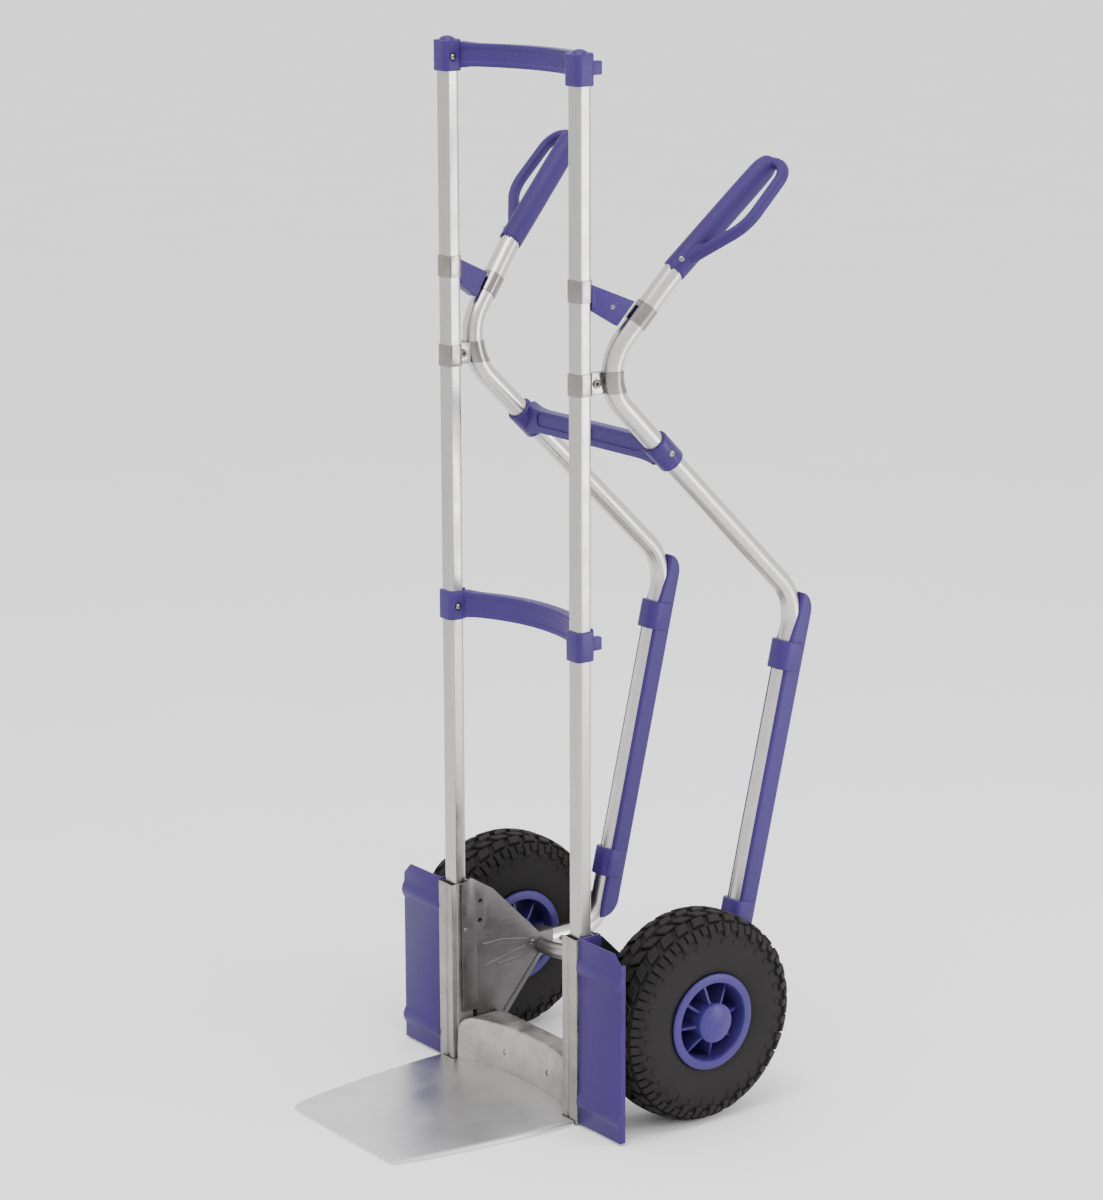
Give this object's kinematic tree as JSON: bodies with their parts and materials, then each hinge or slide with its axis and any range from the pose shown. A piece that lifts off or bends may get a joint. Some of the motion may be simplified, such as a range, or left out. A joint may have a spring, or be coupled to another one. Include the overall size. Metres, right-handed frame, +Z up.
{
  "type": "hand truck",
  "caption": "Upright aluminium hand truck with bent handle tubes, moulded grips with knuckle guards, stair skids, a flared toe plate and pneumatic wheels.",
  "frame": {"origin": "centre of the base of the bounding box, on the floor", "axes": "+Z up; the toe plate reaches towards -Y and the operator stands on the +Y side; the axle lies along X"},
  "size_m": [0.492, 0.6098, 1.2892],
  "materials": {
    "satin_aluminium": "satin anodised tube",
    "raw_aluminium": "mill finish, lightly scratched",
    "toe_aluminium": "brushed plate",
    "bright_steel": "bright stainless",
    "blue_plastic": "satin moulded violet-blue plastic",
    "grip_plastic": "fine-textured moulded plastic",
    "rim_plastic": "satin moulded plastic",
    "tyre_rubber": "block tread rubber",
    "valve_rubber": "matt rubber"
  },
  "bodies": {
    "frame": {"left_upright_tube": "satin_aluminium", "left_foot_profile": "raw_aluminium", "right_upright_tube": "satin_aluminium", "right_foot_profile": "raw_aluminium", "top_crossbar": "blue_plastic", "mid_crossbar": "blue_plastic", "left_cap_screw": "bright_steel", "left_mid_sleeve_screw": "bright_steel", "left_handle_tube": "satin_aluminium", "left_grip": "grip_plastic", "right_cap_screw": "bright_steel", "right_mid_sleeve_screw": "bright_steel", "right_handle_tube": "satin_aluminium", "right_grip": "grip_plastic", "handle_crossbar": "blue_plastic", "left_crossbar_screw": "bright_steel", "left_upright_band": "bright_steel", "left_handle_band": "bright_steel", "left_spacer": "blue_plastic", "left_strap": "bright_steel", "left_strap_rivet": "bright_steel", "left_skid_rail": "blue_plastic", "left_upper_skid_clip": "blue_plastic", "left_lower_skid_clip": "blue_plastic", "left_gusset": "raw_aluminium", "left_axle_lug": "raw_aluminium", "left_axle_stub": "bright_steel", "left_wheel_guard": "blue_plastic", "left_lug_bolt": "bright_steel", "right_crossbar_screw": "bright_steel", "right_upright_band": "bright_steel", "right_handle_band": "bright_steel", "right_spacer": "blue_plastic", "right_strap": "bright_steel", "right_strap_rivet": "bright_steel", "right_skid_rail": "blue_plastic", "right_upper_skid_clip": "blue_plastic", "right_lower_skid_clip": "blue_plastic", "right_gusset": "raw_aluminium", "right_axle_lug": "raw_aluminium", "right_axle_stub": "bright_steel", "right_wheel_guard": "blue_plastic", "right_lug_bolt": "bright_steel", "axle_tube": "satin_aluminium", "toe_plate": "toe_aluminium", "toe_riser": "raw_aluminium", "left_axle_washer": "bright_steel", "right_axle_washer": "bright_steel"},
    "left_wheel": {"left_tyre": "tyre_rubber", "left_rim": "rim_plastic", "left_inner_bearing": "bright_steel", "left_outer_bearing": "bright_steel", "left_hub_cap": "rim_plastic", "left_valve": "valve_rubber"},
    "right_wheel": {"right_tyre": "tyre_rubber", "right_rim": "rim_plastic", "right_inner_bearing": "bright_steel", "right_outer_bearing": "bright_steel", "right_hub_cap": "rim_plastic", "right_valve": "valve_rubber"}
  },
  "joints": [
    {"name": "left_wheel_spin", "type": "hinge", "parent": "frame", "child": "left_wheel", "pos_m": [-0.195, 0.07828, 0.13], "axis": [1, 0, 0], "continuous": true},
    {"name": "right_wheel_spin", "type": "hinge", "parent": "frame", "child": "right_wheel", "pos_m": [0.195, 0.07828, 0.13], "axis": [1, 0, 0], "continuous": true}
  ]
}
